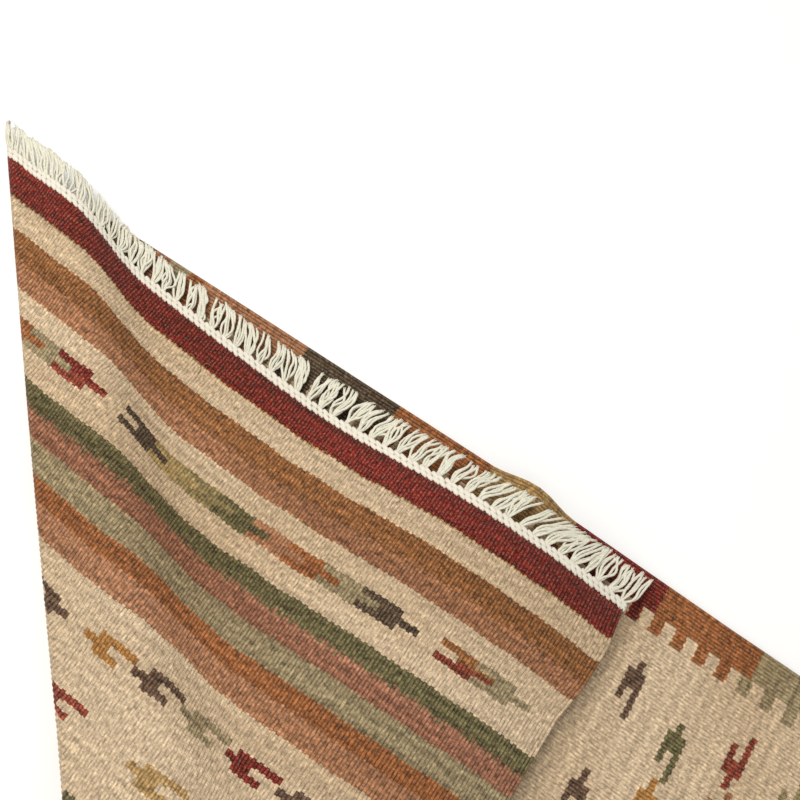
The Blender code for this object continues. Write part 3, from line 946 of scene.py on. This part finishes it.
def cotton_material(name, code, shade):
    """Natural cotton, carded and plied: matt ivory with specks of dust, and painted shade read from each
    point: on lower sides, between parts and in the grooves of the ply.
    """
    material = new_material(name)
    add = partial(node, material.node_tree)
    at = add("TexCoord", out="Object")
    mottle = add("TexNoise", {"Vector": at, "Scale": DUST_CELLS, "Detail": 3.0})
    mottle = add("MapRange", {"Value": mottle, "From Min": 0.35, "From Max": 0.65, "To Max": 0.16})
    # Painted shade from the point attribute, plus specks of dust, draw the cotton toward its shade colour.
    painted_shade = add("Attribute", out="Fac", attribute_name="painted_shade")
    shade_and_dust = add("MULTIPLY_ADD", (painted_shade, HOLLOW_SHADE, mottle), use_clamp=True)
    colour = add("MixRGB", (shade_and_dust, linear(code), linear(shade)))
    fibre = add("TexNoise", {"Vector": at, "Scale": FIBRE_CELLS, "Detail": 2.0})
    bump = add("Bump", {"Strength": 0.4, "Distance": 0.0002, "Height": fibre})
    shader = add("BsdfPrincipled", {"Base Color": colour, "Roughness": 0.85, "Normal": bump,
                                    "Specular IOR Level": 0.25, "Sheen Weight": 0.1})
    add("OutputMaterial", (shader,))
    return material


# ---- camera, floor and light
CAMERA_PLACE = np.array([0.324, 0.553, 0.960])
CAMERA_TILT, CAMERA_SWING, CAMERA_ROLL = np.radians((19.6, 10.9, -23.1))
LENS, SENSOR, SEES_UP_TO = 45.0, 36.0, 50.0
FLOOR_COLOUR, FLOOR_HALF, FLOOR_TOP = "#f6f5f2", 6.0, -0.0008
SURROUND_STRENGTH = 0.58
LAMPS = (
    # name, place, size, power
    ("key", (-0.5, -1.4, 2.4), 1.5, 52.0),
    ("fill", (1.4, 1.2, 2.2), 2.0, 5.0),
)


def set_camera():
    """A camera over the rug's side. Its view is tilted from straight down by CAMERA_TILT, towards a
    heading swung by CAMERA_SWING from -X, and rolled by CAMERA_ROLL about the view."""
    tilt, swing, roll = CAMERA_TILT, CAMERA_SWING, CAMERA_ROLL
    ahead = np.array([-np.sin(tilt) * np.cos(swing), -np.sin(tilt) * np.sin(swing), -np.cos(tilt)])
    level = np.array([-np.sin(swing), np.cos(swing), 0.0])
    upright = np.cross(level, ahead)
    right = np.cos(roll) * level - np.sin(roll) * upright
    up = np.sin(roll) * level + np.cos(roll) * upright
    camera = bpy.data.objects.new("camera", bpy.data.cameras.new("camera"))
    camera.data.lens, camera.data.sensor_width, camera.data.clip_end = LENS, SENSOR, SEES_UP_TO
    camera.matrix_world = Matrix.LocRotScale(CAMERA_PLACE + CORNER,
                                             Matrix(np.stack([right, up, -ahead], 1)), None)
    bpy.context.scene.collection.objects.link(camera)
    bpy.context.scene.camera = camera


def set_stage():
    """A plain pale floor, an even white surround and two large soft lamps. The floor is matt emulsion
    paint, rolled on, which gives the eye an even white with soft shadows."""
    material = new_material("matt_white_floor")
    add = partial(node, material.node_tree)
    paint = add("BsdfPrincipled", {"Base Color": linear(FLOOR_COLOUR), "Roughness": 0.9})
    add("OutputMaterial", (paint,))
    corners = [(x * FLOOR_HALF, y * FLOOR_HALF, FLOOR_TOP) for x, y in ((-1, -1), (1, -1), (1, 1), (-1, 1))]
    floor = new_mesh("floor", corners, [[0, 1, 2, 3]], material)
    world = bpy.data.worlds.new("studio")
    bpy.context.scene.world = world
    world.use_nodes = True
    surround = world.node_tree.nodes["Background"].inputs
    surround["Color"].default_value = (1, 1, 1, 1)
    surround["Strength"].default_value = SURROUND_STRENGTH
    for name, place, size, power in LAMPS:
        lamp = bpy.data.lights.new(name, "AREA")
        lamp.size, lamp.energy = size, power
        holder = bpy.data.objects.new(name, lamp)
        away = np.array(place) / np.linalg.norm(place)
        side = np.cross((0, 0, 1), away)
        side /= np.linalg.norm(side)
        turn = Matrix(np.stack([side, np.cross(away, side), away], 1))
        holder.matrix_world = Matrix.LocRotScale(place, turn, None)
        bpy.context.scene.collection.objects.link(holder)
    bpy.context.scene.view_settings.view_transform = "Standard"
    return floor


set_camera()
floor = set_stage()
wool = wool_material()
# The second colour of each is its shade colour, for painted shade and dust.
twine = cotton_material("twined_cotton", "#e8e0d0", "#a09878")
yarn = cotton_material("plied_cotton", "#e8e4d0", "#807050")
thread = cotton_material("mustard_thread", YARNS["mustard"], "#6f6340")

cloth = woven_cloth(wool)
pieces = [
    # piece, solid it stands for, slot
    (cloth, "rug_body", "wool"),
    (twined_band("twined_band_folded", 0.0, 1, twine), "end_band_folded", "cotton"),
    (twined_band("twined_band_far", LENGTH, -1, twine), "end_band_far", "cotton"),
    (fringe("cotton_fringe_folded", 0.0, -1, FOLDED_FRINGE_LIE, yarn), "fringe_folded", "cotton"),
    (fringe("cotton_fringe_far", LENGTH, 1, FAR_FRINGE_LIE, yarn), "fringe_far", "cotton"),
    (loose_threads(thread), None, "wool"),
]
for piece, solid, slot in pieces:
    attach(piece, "root")
    if solid:
        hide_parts(solid)
